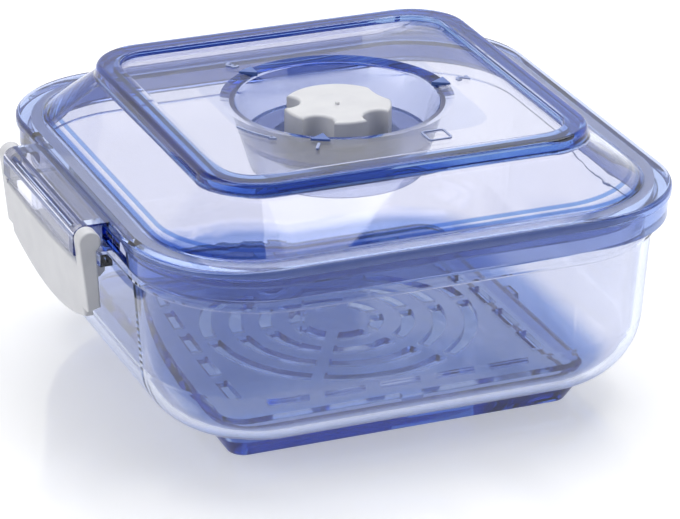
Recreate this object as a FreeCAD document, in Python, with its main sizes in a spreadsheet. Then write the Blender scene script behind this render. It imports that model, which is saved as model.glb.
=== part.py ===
import FreeCAD, Part
import math
import os
import re
import Sketcher

# Vacuum seal canister: a clear square tub with a drain grid, a clear lid held down by one side latch, and a
# three-position rotary air valve in a round well in the lid.
# Frame: +Z up, +X to the right along the front, origin at the middle of the foot's underside.

# Driving dimensions, in millimetres and degrees
SIZES = {
    # Fits and cuts
    "fit_gap": 0.3,
    "run_gap": 0.05,
    "cut_over": 2.0,
    "pick_slack": 0.05,
    # Container: foot, round bottom, drafted wall, collar, neck and latch catch
    "foot_corner": 6.0,
    "foot_height": 9.5,
    "foot_inset": 1.5,
    "foot_flare": 6.5,
    "foot_floor": 7.5,
    "foot_round": 1.2,
    "base_half": 92.0,
    "base_corner": 40.6,
    "base_round": 26.0,
    "wall_draft": 4.1,
    "tub_wall": 3.0,
    "wall_rise": 58.5,
    "collar_reach": 1.5,
    "collar_height": 4.7,
    "collar_round": 0.6,
    "neck_inset": 0.5,
    "neck_rise": 7.8,
    "neck_round": 0.9,
    "catch_over": 2.0,
    "catch_reach": 4.2,
    "catch_height": 4.0,
    # Drain grid
    "grid_spread": 2.6,
    "grid_corner": 9.0,
    "grid_thickness": 2.6,
    "grid_lug_half": 4.0,
    "grid_lug_reach": 2.4,
    "grid_ring_first": 12.0,
    "grid_ring_step": 11.5,
    "grid_ring_slot": 5.0,
    "grid_bar_half": 2.2,
    "grid_slot_inset": 8.5,
    "grid_slot_width": 4.5,
    "grid_slot_length": 15.0,
    "grid_slot_pitch": 21.0,
    # Lid: flange, skirt, slope, raised rim, panel and gasket channel
    "lid_corner": 41.5,
    "lid_roof": 2.0,
    "flange_width": 9.1,
    "flange_edge": 3.6,
    "flange_round": 1.5,
    "flange_low_round": 0.6,
    "skirt_wall": 2.6,
    "skirt_inset": 1.2,
    "skirt_round": 0.7,
    "slope_run": 18.0,
    "slope_corner": 35.2,
    "slope_round": 1.6,
    "rim_corner": 20.7,
    "lid_rise": 19.6,
    "rim_face": 4.7,
    "rim_lean": 1.0,
    "rim_width": 8.5,
    "rim_round": 1.8,
    "rim_inner_round": 0.9,
    "panel_drop": 2.2,
    "lid_wall": 2.5,
    "lid_play": 0.6,
    "plug_wall": 2.5,
    "plug_depth": 7.0,
    "notch_margin": 9.5,
    "notch_slant": 2.0,
    "notch_height": 7.6,
    "notch_corner": 5.0,
    "notch_corner_drop": 2.0,
    "gasket_height": 2.2,
    "gasket_ease": 0.1,
    "gasket_round": 0.5,
    # Valve well in the lid
    "ring_radius": 42.0,
    "ring_slope": 5.1,
    "well_chamfer": 1.0,
    "well_round": 0.8,
    "well_depth": 13.9,
    "cup_depth": 13.0,
    "cup_draft": 5.4,
    "boss_radius": 7.2,
    "boss_height": 2.5,
    "port_radius": 2.5,
    "port_circle": 14.0,
    "port_turn": 90.0,
    # Hinge tongue on the lid's left side
    "tongue_half": 38.9,
    "tongue_round": 4.2,
    "tongue_lift": 0.8,
    "tongue_sink": 0.5,
    "tongue_wall": 2.4,
    "tongue_end": 6.0,
    "tongue_edge_round": 0.8,
    "pivot_out": 8.8,
    "stub_radius": 2.0,
    "stub_length": 4.2,
    # Latch
    "arm_width": 5.8,
    "head_radius": 4.0,
    "arm_length": 25.7,
    "arm_foot_out": 1.3,
    "arm_foot_thickness": 4.8,
    "arm_foot_share": 0.25,
    "arm_round": 0.7,
    "plate_inset": 5.0,
    "plate_drop": 8.9,
    "plate_dip": 1.7,
    "plate_thickness": 3.2,
    "latch_length": 36.7,
    "plate_sag": 7.6,
    "plate_round": 1.0,
    "hook_half": 28.0,
    "hook_height": 4.0,
    "hook_room": 1.9,
    # Knob
    "knob_radius": 19.5,
    "knob_lift": 0.9,
    "knob_height": 10.6,
    "knob_roof": 3.0,
    "knob_round": 1.1,
    "knob_dish_radius": 9.0,
    "knob_dish_depth": 0.7,
    "dish_middle_share": 0.75,
    "hub_radius": 6.4,
    "scallop_radius": 6.0,
    "scallop_depth": 6.0,
    "flat_radius": 24.0,
    "flat_depth": 2.2,
    # Spindle, washer, ring, spring, screw
    "spindle_radius": 4.5,
    "drive_half": 2.7,
    "drive_corner": 0.5,
    "drive_length": 3.4,
    "ring_section": 0.8,
    "ring_ease": 0.05,
    "washer_thickness": 1.0,
    "washer_inset": 0.2,
    "spring_gap": 2.1,
    "spring_room": 1.9,
    "spring_wire": 0.6,
    "spring_turns": 4.0,
    "screw_radius": 1.8,
    "screw_bite": 0.4,
    "screw_head_radius": 3.6,
    "screw_head_height": 2.4,
    "screw_slot_half": 0.5,
    "screw_slot_depth": 1.0,
    # Rotor plate, its seal and the check valve
    "rotor_radius": 24.0,
    "rotor_thickness": 3.0,
    "seal_inset": 0.6,
    "seal_thickness": 2.1,
    "open_turn": 113.0,
    "check_turn": 233.0,
    "umbrella_radius": 4.2,
    "umbrella_thickness": 1.2,
    "umbrella_window": 4.8,
    "umbrella_stem": 1.2,
    "umbrella_bulb": 1.8,
    "umbrella_bulb_height": 1.6,
    "vent_radius": 0.7,
    "vent_circle": 2.7,
}

# Places worked out from the driving dimensions
DERIVED = {
    "foot_half": "base_half - base_round - foot_inset",
    "wall_half": "base_half + wall_draft",
    "wall_corner": "base_corner + wall_draft",
    "neck_half": "wall_half - neck_inset",
    "neck_corner": "wall_corner - neck_inset",
    "mouth_half": "neck_half - tub_wall",
    "mouth_corner": "neck_corner - tub_wall",
    "floor_level": "foot_height + tub_wall",
    "collar_level": "foot_height + wall_rise",
    "collar_top": "collar_level + collar_height",
    "neck_top": "collar_top + neck_rise",
    "catch_half": "hook_half + catch_over",
    "catch_bottom": "collar_level - catch_height",
    "grid_half": "base_half - base_round + grid_spread",
    "grid_level": "floor_level + fit_gap + fit_gap",
    "skirt_half": "skirt_in_half + skirt_wall",
    "skirt_bottom": "collar_top + fit_gap",
    "lid_half": "skirt_half + skirt_inset",
    "skirt_corner": "lid_corner - skirt_inset",
    "skirt_in_half": "neck_half + lid_play",
    "skirt_in_corner": "neck_corner + lid_play",
    "plug_half": "mouth_half - lid_play",
    "plug_corner": "mouth_corner - lid_play",
    "plug_in_half": "plug_half - plug_wall",
    "plug_in_corner": "plug_corner - plug_wall",
    "gasket_level": "neck_top + fit_gap",
    "channel_top": "gasket_level + gasket_height",
    "plug_bottom": "channel_top - plug_depth",
    "flange_top": "channel_top + lid_roof",
    "rim_top": "flange_top + lid_rise",
    "panel_top": "rim_top - panel_drop",
    "panel_under": "panel_top - lid_wall",
    "rim_foot": "rim_top - rim_face",
    "slope_half": "lid_half - flange_width",
    "rim_foot_half": "slope_half - slope_run",
    "rim_half": "rim_foot_half - rim_lean",
    "rim_foot_corner": "rim_corner + rim_lean",
    "slope_rise": "rim_foot - flange_top",
    "slope_shift": "lid_wall * sqrt(1 + (slope_run / slope_rise) ^ 2)",
    "hollow_half": "slope_half - slope_shift - (panel_under - flange_top) * slope_run / slope_rise",
    "hollow_corner": "rim_foot_corner - slope_shift",
    "hollow_level": "flange_top + (slope_half - slope_shift - plug_in_half) * slope_rise / slope_run",
    "well_radius": "ring_radius - ring_slope",
    "well_lip": "panel_top - well_chamfer",
    "well_floor": "panel_top - well_depth",
    "floor_under": "well_floor - lid_wall",
    "boss_top": "well_floor + boss_height",
    "cup_bottom": "well_floor - cup_depth",
    "cup_foot_radius": "well_radius - cup_draft",
    "cup_taper": "(well_radius + lid_wall - cup_foot_radius) / (well_lip - cup_bottom)",
    "cup_at_floor": "cup_foot_radius + (well_floor - cup_bottom) * cup_taper",
    "cup_at_under": "cup_foot_radius + (floor_under - cup_bottom) * cup_taper",
    "bore_radius": "spindle_radius + run_gap",
    "pivot_reach": "lid_half + pivot_out",
    "pivot_level": "flange_top - tongue_sink - tongue_round",
    "tongue_reach": "pivot_reach + tongue_round",
    "tongue_bottom": "skirt_bottom + tongue_lift",
    "tongue_top": "pivot_level + tongue_round",
    "tongue_root": "(skirt_half + skirt_in_half) / 2",
    "socket_radius": "stub_radius + run_gap",
    "arm_inner": "tongue_half + fit_gap",
    "latch_half": "arm_inner + arm_width",
    "notch_half": "latch_half + notch_margin",
    "plate_half": "latch_half - plate_inset",
    "plate_top": "pivot_level - plate_drop",
    "plate_lip_level": "pivot_level - latch_length",
    "arm_foot_level": "pivot_level - arm_length",
    "arm_foot_reach": "pivot_reach + arm_foot_out",
    "hook_reach": "wall_half + hook_room",
    "hook_top": "catch_bottom - fit_gap",
    "head_reach": "pivot_reach + head_radius",
    "arm_lean": "(head_reach - arm_foot_reach) / (pivot_level - arm_foot_level)",
    "dip_radius": "(plate_half ^ 2 + plate_dip ^ 2) / (2 * plate_dip)",
    "sag_radius": "(plate_half ^ 2 + plate_sag ^ 2) / (2 * plate_sag)",
    "knob_bottom": "well_floor + knob_lift",
    "knob_top": "knob_bottom + knob_height",
    "spring_radius": "boss_radius + spring_gap",
    "knob_cavity_radius": "spring_radius + spring_room",
    "washer_radius": "boss_radius - washer_inset",
    "knob_ceiling": "knob_top - knob_roof",
    "washer_level": "boss_top + fit_gap",
    "hub_level": "washer_level + washer_thickness",
    "seal_top": "floor_under - fit_gap",
    "rotor_top": "seal_top - seal_thickness",
    "rotor_bottom": "rotor_top - rotor_thickness",
    "ring_level": "(floor_under + boss_top) / 2",
    "ring_centre": "spindle_radius - ring_section",
    "screw_hole": "screw_radius + ring_ease",
    "screw_length": "knob_ceiling + screw_bite - rotor_bottom",
    "spring_start": "well_floor + fit_gap + spring_wire",
    "spring_rise": "knob_ceiling - spring_wire - spring_start",
}

# Knob scallops: turn about the axis in degrees, radius and depth of the cut
SCALLOPS = (
    (-133.0, "scallop_radius", "scallop_depth"),
    (-61.0, "scallop_radius", "scallop_depth"),
    (11.0, "flat_radius", "flat_depth"),
    (155.0, "scallop_radius", "scallop_depth"),
)
GRID_RINGS = 4
GRID_BARS = 3
GRID_SLOTS = 5
SIDES = 4
VENTS = 3
QUARTER = 90.0
FULL_TURN = 360.0

doc = FreeCAD.newDocument("vacuum_canister")
sheet = doc.addObject("Spreadsheet::Sheet", "Sizes")
for row, (alias, value) in enumerate(SIZES.items(), 1):
    sheet.set(f"A{row}", alias)
    sheet.set(f"B{row}", str(value))
    sheet.setAlias(f"B{row}", alias)
doc.recompute()

Vector = FreeCAD.Vector
Constraint = Sketcher.Constraint


def bound(text):
    """The text of a sum with each name turned into its cell, or into what it is worked out from."""
    def cell(found):
        word = found.group(0)
        if word in SIZES:
            return f"Sizes.{word}"
        if word in DERIVED:
            return f"({bound(DERIVED[word])})"
        return word
    return re.sub(r"[a-z][a-z_]*", cell, text)


def size(text):
    """The value of a sum of named sizes."""
    return float(sheet.evalExpression(bound(text)))


def new_body(name):
    """An empty body with its label."""
    body = doc.addObject("PartDesign::Body", name)
    body.Label = name
    return body


def origin_plane(body, role):
    """One of a body's own origin planes."""
    return next(item for item in body.Origin.OriginFeatures if item.Role == role)


def new_sketch(body, name, role="XY_Plane", level="0"):
    """An empty sketch on an origin plane, moved along the plane's normal by a level."""
    sketch = body.newObject("Sketcher::SketchObject", name)
    sketch.AttachmentSupport = [(origin_plane(body, role), "")]
    sketch.MapMode = "FlatFace"
    sketch.setExpression("AttachmentOffset.Base.z", bound(level))
    return sketch


def hold(sketch, constraint, text):
    """Adds a dimension and ties it to a sum of named sizes."""
    index = sketch.addConstraint(constraint)
    sketch.setExpression(f"Constraints[{index}]", bound(text))


def place_point(sketch, item, end, place, x, y):
    """Ties one point of a curve to two sums, or to an axis where a sum is zero."""
    if x == "0":
        sketch.addConstraint(Constraint("PointOnObject", item, end, -2))
    else:
        hold(sketch, Constraint("DistanceX", -1, 1, item, end, place.x), x)
    if y == "0":
        sketch.addConstraint(Constraint("PointOnObject", item, end, -1))
    else:
        hold(sketch, Constraint("DistanceY", -1, 1, item, end, place.y), y)


def draw_round_square(sketch, half, corner):
    """Draws a square about the origin with round corners."""
    reach = size(half)
    radius = size(corner)
    inner = reach - radius

    def line(start, end):
        return sketch.addGeometry(Part.LineSegment(Vector(*start), Vector(*end)), False)

    def arc(x, y, turn):
        circle = Part.Circle(Vector(x, y), Vector(0, 0, 1), radius)
        first = math.radians(turn)
        return sketch.addGeometry(Part.ArcOfCircle(circle, first, first + math.pi / 2), False)

    right = line((reach, -inner), (reach, inner))
    corner_one = arc(inner, inner, 0)
    top = line((inner, reach), (-inner, reach))
    corner_two = arc(-inner, inner, QUARTER)
    left = line((-reach, inner), (-reach, -inner))
    corner_three = arc(-inner, -inner, 2 * QUARTER)
    bottom = line((-inner, -reach), (inner, -reach))
    corner_four = arc(inner, -inner, 3 * QUARTER)
    chain = (right, corner_one, top, corner_two, left, corner_three, bottom, corner_four)
    for index, item in enumerate(chain):
        following = chain[(index + 1) % len(chain)]
        sketch.addConstraint(Constraint("Tangent", item, 2, following, 1))
    for item in (right, left):
        sketch.addConstraint(Constraint("Vertical", item))
    for item in (top, bottom):
        sketch.addConstraint(Constraint("Horizontal", item))
    for item in (corner_two, corner_three, corner_four):
        sketch.addConstraint(Constraint("Equal", corner_one, item))
    hold(sketch, Constraint("DistanceX", -1, 1, right, 1, reach), half)
    hold(sketch, Constraint("DistanceX", left, 1, -1, 1, reach), half)
    hold(sketch, Constraint("DistanceY", -1, 1, top, 1, reach), half)
    hold(sketch, Constraint("DistanceY", bottom, 1, -1, 1, reach), half)
    hold(sketch, Constraint("Radius", corner_one, radius), corner)


def draw_polygon(sketch, points):
    """Draws a closed outline through points given as pairs of sums."""
    places = [Vector(size(x), size(y)) for x, y in points]
    count = len(places)
    lines = [
        sketch.addGeometry(Part.LineSegment(places[index], places[(index + 1) % count]), False)
        for index in range(count)
    ]
    for index, item in enumerate(lines):
        sketch.addConstraint(Constraint("Coincident", item, 2, lines[(index + 1) % count], 1))
    for item, place, (x, y) in zip(lines, places, points):
        place_point(sketch, item, 1, place, x, y)


def draw_circle(sketch, radius, x="0", y="0"):
    """Draws a circle about a point given as two sums."""
    place = Vector(size(x), size(y))
    item = sketch.addGeometry(Part.Circle(place, Vector(0, 0, 1), size(radius)), False)
    hold(sketch, Constraint("Radius", item, size(radius)), radius)
    place_point(sketch, item, 3, place, x, y)


def round_square(body, name, half, corner, level):
    """A sketch of one round-cornered square at a level."""
    sketch = new_sketch(body, name, level=level)
    draw_round_square(sketch, half, corner)
    return sketch


def polygon(body, name, role, points, level="0"):
    """A sketch of one polygon on an origin plane."""
    sketch = new_sketch(body, name, role, level)
    draw_polygon(sketch, points)
    return sketch


def circle(body, name, radius, level, x="0", y="0", role="XY_Plane"):
    """A sketch of one circle on an origin plane."""
    sketch = new_sketch(body, name, role, level)
    draw_circle(sketch, radius, x, y)
    return sketch


def feature(body, kind, name, sketch):
    """A feature of a body that starts from a sketch."""
    item = body.newObject(f"PartDesign::{kind}", name)
    item.Profile = sketch
    return item


def pad(body, name, sketch, length, both_ways=False):
    """Adds the sketch's face along its normal, or half of the length to each side."""
    item = feature(body, "Pad", name, sketch)
    item.setExpression("Length", bound(length))
    if both_ways:
        item.SideType = "Symmetric"
    doc.recompute()
    return item


def cut(body, name, sketch, length, along_normal=True, both_ways=False):
    """Removes the sketch's face along its normal, against it, or half of the length to each side."""
    before = body.Shape.Volume
    item = feature(body, "Pocket", name, sketch)
    item.setExpression("Length", bound(length))
    item.Reversed = along_normal
    if both_ways:
        item.SideType = "Symmetric"
    doc.recompute()
    if body.Shape.Volume >= before:
        raise RuntimeError(f"{name} cuts nothing")
    return item


def loft(body, name, sketches, remove=False):
    """Joins sketches at several levels with straight sides."""
    item = feature(body, "SubtractiveLoft" if remove else "AdditiveLoft", name, sketches[0])
    item.Sections = list(sketches[1:])
    item.Ruled = True
    doc.recompute()
    return item


def turn(body, name, points, remove=False):
    """Turns an outline of radius and level pairs once about the Z axis."""
    sketch = polygon(body, f"{name}_outline", "XZ_Plane", points)
    item = feature(body, "Groove" if remove else "Revolution", name, sketch)
    item.ReferenceAxis = (sketch, ["V_Axis"])
    item.Angle = FULL_TURN
    doc.recompute()
    return item


def square_distance(point, half, corner):
    """How far a point's plan lies from a round-cornered square about the origin."""
    x = abs(point.x) - (half - corner)
    y = abs(point.y) - (half - corner)
    outside = math.hypot(max(x, 0), max(y, 0))
    return abs(outside + min(max(x, y), 0) - corner)


def round_edges(body, name, radius, test):
    """Rounds every edge whose ends and middle all pass the test."""
    shape = body.Shape
    names = []
    for index, edge in enumerate(shape.Edges, 1):
        first, last = edge.ParameterRange
        points = [edge.valueAt(first), edge.valueAt((first + last) / 2), edge.valueAt(last)]
        if all(test(point) for point in points):
            names.append(f"Edge{index}")
    if not names:
        raise RuntimeError(f"{name} finds no edge")
    item = body.newObject("PartDesign::Fillet", name)
    item.Base = (body.Tip if body.Tip is not item else item.BaseFeature, names)
    item.setExpression("Radius", bound(radius))
    doc.recompute()
    if "Invalid" in item.State or item.Shape.isNull() or not item.Shape.isValid():
        raise RuntimeError(f"{name} failed")
    return item


def on_square(half, corner, level):
    """A test for points on a round-cornered square at a level."""
    slack = size("pick_slack")
    reach = size(half)
    radius = size(corner)
    height = size(level)

    def test(point):
        return abs(point.z - height) < slack and square_distance(point, reach, radius) < slack
    return test


def on_circle(radius, level):
    """A test for points on a circle about the Z axis at a level."""
    slack = size("pick_slack")
    reach = size(radius)
    height = size(level)

    def test(point):
        return abs(point.z - height) < slack and abs(math.hypot(point.x, point.y) - reach) < slack
    return test


def around(radius, turn_text):
    """The X and Y sums of a point on a circle, at a turn in degrees."""
    return f"{radius} * cos(({turn_text}) * 1 deg)", f"{radius} * sin(({turn_text}) * 1 deg)"


def make_container():
    """Clear tub: foot with a sump, round bottom, drafted wall, collar, neck and latch catch."""
    body = new_body("container")
    outside = (
        round_square(body, "base", "base_half", "base_corner", "foot_height"),
        round_square(body, "shoulder", "wall_half", "wall_corner", "collar_level"),
    )
    loft(body, "wall", outside)
    collar_half = "wall_half + collar_reach"
    collar_corner = "wall_corner + collar_reach"
    collar = round_square(body, "collar_edge", collar_half, collar_corner, "collar_level")
    pad(body, "collar", collar, "collar_height")
    neck = round_square(body, "neck_edge", "neck_half", "neck_corner", "collar_top")
    pad(body, "neck", neck, "neck_top - collar_top")
    for level in ("collar_level", "collar_top"):
        round_edges(body, f"{level}_round", "collar_round", on_square(collar_half, collar_corner, level))
    catch = (
        ("0 - wall_half - catch_reach", "0 - catch_half"),
        ("tub_wall / 2 - wall_half", "0 - catch_half"),
        ("tub_wall / 2 - wall_half", "catch_half"),
        ("0 - wall_half - catch_reach", "catch_half"),
    )
    pad(body, "catch", polygon(body, "catch_edge", "XY_Plane", catch, "catch_bottom"),
        "catch_height + collar_round")
    inside = (
        round_square(body, "floor_edge", "base_half - tub_wall", "base_corner - tub_wall", "floor_level"),
        round_square(body, "inner_shoulder", "wall_half - tub_wall", "wall_corner - tub_wall",
                     "collar_level"),
        round_square(body, "mouth", "mouth_half", "mouth_corner", "neck_top + cut_over"),
    )
    loft(body, "inside", inside, remove=True)
    round_edges(body, "inner_bottom_round", "base_round - tub_wall",
                on_square("base_half - tub_wall", "base_corner - tub_wall", "floor_level"))
    round_edges(body, "bottom_round", "base_round", on_square("base_half", "base_corner", "foot_height"))
    flare = "foot_flare * (1 + tub_wall / 2 / foot_height)"
    foot = (
        round_square(body, "foot_edge", "foot_half", "foot_corner", "0"),
        round_square(body, "foot_root", f"foot_half + {flare}", f"foot_corner + {flare}",
                     "foot_height + tub_wall / 2"),
    )
    loft(body, "foot", foot)
    sump_half = "foot_half - tub_wall + foot_flare * (foot_floor - tub_wall) / foot_height"
    sump_corner = "foot_corner - tub_wall / 2"
    rise = "(floor_level + cut_over - foot_floor) / foot_height"
    sump = (
        round_square(body, "sump_floor", sump_half, sump_corner, "foot_floor"),
        round_square(body, "sump_mouth", f"{sump_half} + foot_flare * {rise}",
                     f"{sump_corner} + foot_flare * {rise}", "floor_level + cut_over"),
    )
    loft(body, "sump", sump, remove=True)
    round_edges(body, "foot_round_edge", "foot_round", on_square("foot_half", "foot_corner", "0"))
    round_edges(body, "neck_outer_round", "neck_round", on_square("neck_half", "neck_corner", "neck_top"))
    return body


def make_drain_grid():
    """Drain plate with ring slots, cross bars, edge slots and a lug at the middle of each side."""
    body = new_body("drain_grid")
    pad(body, "plate", round_square(body, "plate_edge", "grid_half", "grid_corner", "grid_level"),
        "grid_thickness")
    lug = (
        ("0 - grid_lug_half", "0 - grid_half - grid_lug_reach"),
        ("grid_lug_half", "0 - grid_half - grid_lug_reach"),
        ("grid_lug_half", "grid_lug_reach - grid_half"),
        ("0 - grid_lug_half", "grid_lug_reach - grid_half"),
    )
    lug_pad = pad(body, "lug", polygon(body, "lug_edge", "XY_Plane", lug, "grid_level"), "grid_thickness")
    around_sides(body, "lugs", lug_pad, SIDES)
    rings = new_sketch(body, "ring_edges", level="grid_level")
    for index in range(GRID_RINGS):
        inner = f"grid_ring_first + {index} * grid_ring_step"
        draw_circle(rings, inner)
        draw_circle(rings, f"{inner} + grid_ring_slot")
    cut(body, "rings", rings, "grid_thickness")
    bar_reach = f"(grid_ring_first + {GRID_RINGS} * grid_ring_step)"
    bar = (
        (f"0 - {bar_reach}", "0 - grid_bar_half"),
        (bar_reach, "0 - grid_bar_half"),
        (bar_reach, "grid_bar_half"),
        (f"0 - {bar_reach}", "grid_bar_half"),
    )
    bar_pad = pad(body, "bar", polygon(body, "bar_edge", "XY_Plane", bar, "grid_level"), "grid_thickness")
    around_sides(body, "bars", bar_pad, 2 * GRID_BARS)
    slots = new_sketch(body, "slot_edges", level="grid_level")
    for index in range(GRID_SLOTS):
        middle = f"({index} - {GRID_SLOTS - 1} / 2) * grid_slot_pitch"
        near = "grid_slot_inset - grid_half"
        draw_polygon(slots, (
            (f"{middle} - grid_slot_length / 2", near),
            (f"{middle} + grid_slot_length / 2", near),
            (f"{middle} + grid_slot_length / 2", f"{near} + grid_slot_width"),
            (f"{middle} - grid_slot_length / 2", f"{near} + grid_slot_width"),
        ))
    slot_cut = cut(body, "edge_slots", slots, "grid_thickness")
    around_sides(body, "all_edge_slots", slot_cut, SIDES)
    return body


def around_sides(body, name, original, count):
    """Repeats a feature evenly about the Z axis."""
    pattern = body.newObject("PartDesign::PolarPattern", name)
    pattern.Originals = [original]
    pattern.Axis = (next(item for item in body.Origin.OriginFeatures if item.Role == "Z_Axis"), [""])
    pattern.Angle = FULL_TURN
    pattern.Occurrences = count
    body.Tip = pattern
    doc.recompute()
    return pattern


def make_lid():
    """Clear lid: skirt, flange, slope, raised rim, panel, valve well and hinge tongue."""
    body = new_body("lid")
    skirt = round_square(body, "skirt_edge", "skirt_half", "skirt_corner", "skirt_bottom")
    pad(body, "skirt", skirt, "flange_top - skirt_bottom")
    flange = round_square(body, "flange_edge_line", "lid_half", "lid_corner", "flange_top - flange_edge")
    pad(body, "flange", flange, "flange_edge")
    round_edges(body, "skirt_low_edge", "skirt_round",
                on_square("skirt_half", "skirt_corner", "skirt_bottom"))
    round_edges(body, "flange_high_edge", "flange_round", on_square("lid_half", "lid_corner", "flange_top"))
    round_edges(body, "flange_low_edge", "flange_low_round",
                on_square("lid_half", "lid_corner", "flange_top - flange_edge"))
    slope = (
        round_square(body, "crease", "slope_half", "slope_corner", "flange_top"),
        round_square(body, "rim_root", "rim_foot_half", "rim_foot_corner", "rim_foot"),
        round_square(body, "rim_edge", "rim_half", "rim_corner", "rim_top"),
    )
    loft(body, "slope", slope)
    tongue_points = (
        ("0 - tongue_root", "tongue_bottom"),
        ("0 - tongue_root", "tongue_top"),
        ("0 - tongue_reach", "tongue_top"),
        ("0 - tongue_reach", "tongue_bottom"),
    )
    tongue = polygon(body, "tongue_section", "XZ_Plane", tongue_points)
    pad(body, "tongue", tongue, "2 * tongue_half", both_ways=True)
    panel_half = "rim_half - rim_width"
    panel_corner = "rim_corner - rim_width"
    cut(body, "panel", round_square(body, "panel_edge", panel_half, panel_corner, "rim_top"), "panel_drop",
        along_normal=False)

    # Underside: mouth inside the skirt, gasket channel, hollow behind the plug and slope, hollow of the rim
    mouth = round_square(body, "mouth_edge", "skirt_in_half", "skirt_in_corner", "skirt_bottom")
    cut(body, "mouth", mouth, "plug_bottom - skirt_bottom")
    channel = round_square(body, "channel_edges", "skirt_in_half", "skirt_in_corner", "plug_bottom")
    draw_round_square(channel, "plug_half", "plug_corner")
    cut(body, "channel", channel, "channel_top - plug_bottom")
    cut(body, "plug_inside", round_square(body, "plug_edge", "plug_in_half", "plug_in_corner", "plug_bottom"),
        "hollow_level - plug_bottom")
    hollow = (
        round_square(body, "hollow_mouth", "plug_in_half", "plug_in_corner", "hollow_level"),
        round_square(body, "hollow_roof", "hollow_half", "hollow_corner", "panel_under"),
    )
    loft(body, "hollow", hollow, remove=True)
    rim_hollow = round_square(body, "rim_hollow_edges", "rim_half - lid_wall", "rim_corner - lid_wall",
                              "panel_under")
    draw_round_square(rim_hollow, f"{panel_half} + lid_wall", f"{panel_corner} + lid_wall")
    cut(body, "rim_hollow", rim_hollow, "rim_top - lid_wall - panel_under")

    # Valve well: chamfered mouth in the panel, then the tapered cup with its floor and boss
    turn(body, "well_mouth", (
        ("0", "panel_under - lid_wall"),
        ("well_radius", "panel_under - lid_wall"),
        ("well_radius", "well_lip"),
        ("ring_radius", "panel_top"),
        ("0", "panel_top + cut_over"),
    ), remove=True)
    turn(body, "cup", (
        ("bore_radius", "floor_under"),
        ("cup_at_under - lid_wall", "floor_under"),
        ("cup_foot_radius - lid_wall", "cup_bottom"),
        ("cup_foot_radius", "cup_bottom"),
        ("well_radius + lid_wall", "well_lip"),
        ("well_radius", "well_lip"),
        ("cup_at_floor - lid_wall", "well_floor"),
        ("boss_radius", "well_floor"),
        ("boss_radius", "boss_top"),
        ("bore_radius", "boss_top"),
    ))
    port_x, port_y = around("port_circle", "port_turn")
    cut(body, "port", circle(body, "port_edge", "port_radius", "floor_under", port_x, port_y), "lid_wall")

    # Hinge tongue: round top, hollow underside and the bore for the latch's stubs
    reach = size("tongue_reach")
    slack = size("pick_slack")
    top = size("tongue_top")
    low = size("tongue_bottom")
    round_edges(body, "tongue_round_edge", "tongue_round",
                lambda point: abs(point.x + reach) < slack and abs(point.z - top) < slack)
    round_edges(body, "tongue_low_edge", "tongue_edge_round",
                lambda point: abs(point.x + reach) < slack and abs(point.z - low) < slack)
    under = (
        ("tongue_wall - tongue_reach", "tongue_end - tongue_half"),
        ("0 - skirt_half - tongue_wall", "tongue_end - tongue_half"),
        ("0 - skirt_half - tongue_wall", "tongue_half - tongue_end"),
        ("tongue_wall - tongue_reach", "tongue_half - tongue_end"),
    )
    cut(body, "tongue_hollow", polygon(body, "tongue_hollow_edge", "XY_Plane", under, "tongue_bottom"),
        "tongue_top - tongue_wall - tongue_bottom")
    cut(body, "stub_bore", circle(body, "stub_bore_edge", "socket_radius", "0", "0 - pivot_reach",
                                  "pivot_level", "XZ_Plane"), "2 * tongue_half", both_ways=True)
    for side in (-1, 1):
        notch = (
            (f"{side} * (tongue_half + fit_gap)", "skirt_bottom - cut_over"),
            (f"{side} * notch_half", "skirt_bottom - cut_over"),
            (f"{side} * notch_half", "skirt_bottom"),
            (f"{side} * (notch_half - notch_slant)", "skirt_bottom + notch_height - notch_corner_drop"),
            (f"{side} * (notch_half - notch_slant - notch_corner)", "skirt_bottom + notch_height"),
            (f"{side} * (tongue_half + fit_gap)", "skirt_bottom + notch_height"),
        )
        notch_sketch = polygon(body, f"notch_{side + 1}", "YZ_Plane", notch, "0 - skirt_half - cut_over")
        cut(body, f"notch_cut_{side + 1}", notch_sketch, "skirt_half - skirt_in_half + 2 * cut_over")

    # Soft edges
    round_edges(body, "rim_outer_round", "rim_round", on_square("rim_half", "rim_corner", "rim_top"))
    round_edges(body, "rim_root_round", "slope_round",
                on_square("rim_foot_half", "rim_foot_corner", "rim_foot"))
    round_edges(body, "rim_inner_edge", "rim_inner_round", on_square(panel_half, panel_corner, "rim_top"))
    round_edges(body, "crease_round", "slope_round", on_square("slope_half", "slope_corner", "flange_top"))
    round_edges(body, "well_lip_round", "well_round", on_circle("well_radius", "well_lip"))
    return body


def make_lid_gasket():
    """Silicone ring in the lid's channel, over the container's neck."""
    body = new_body("lid_gasket")
    outer_half = "skirt_in_half - gasket_ease"
    outer_corner = "skirt_in_corner - gasket_ease"
    edges = round_square(body, "edges", outer_half, outer_corner, "gasket_level")
    draw_round_square(edges, "plug_half + gasket_ease", "plug_corner + gasket_ease")
    pad(body, "ring", edges, "gasket_height - gasket_ease")
    round_edges(body, "ring_round", "gasket_round", on_square(outer_half, outer_corner, "gasket_level"))
    return body


def plate_reach(level):
    """How far out the latch's outer face lies at a level."""
    return f"(head_reach - (pivot_level - ({level})) * arm_lean)"


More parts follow.
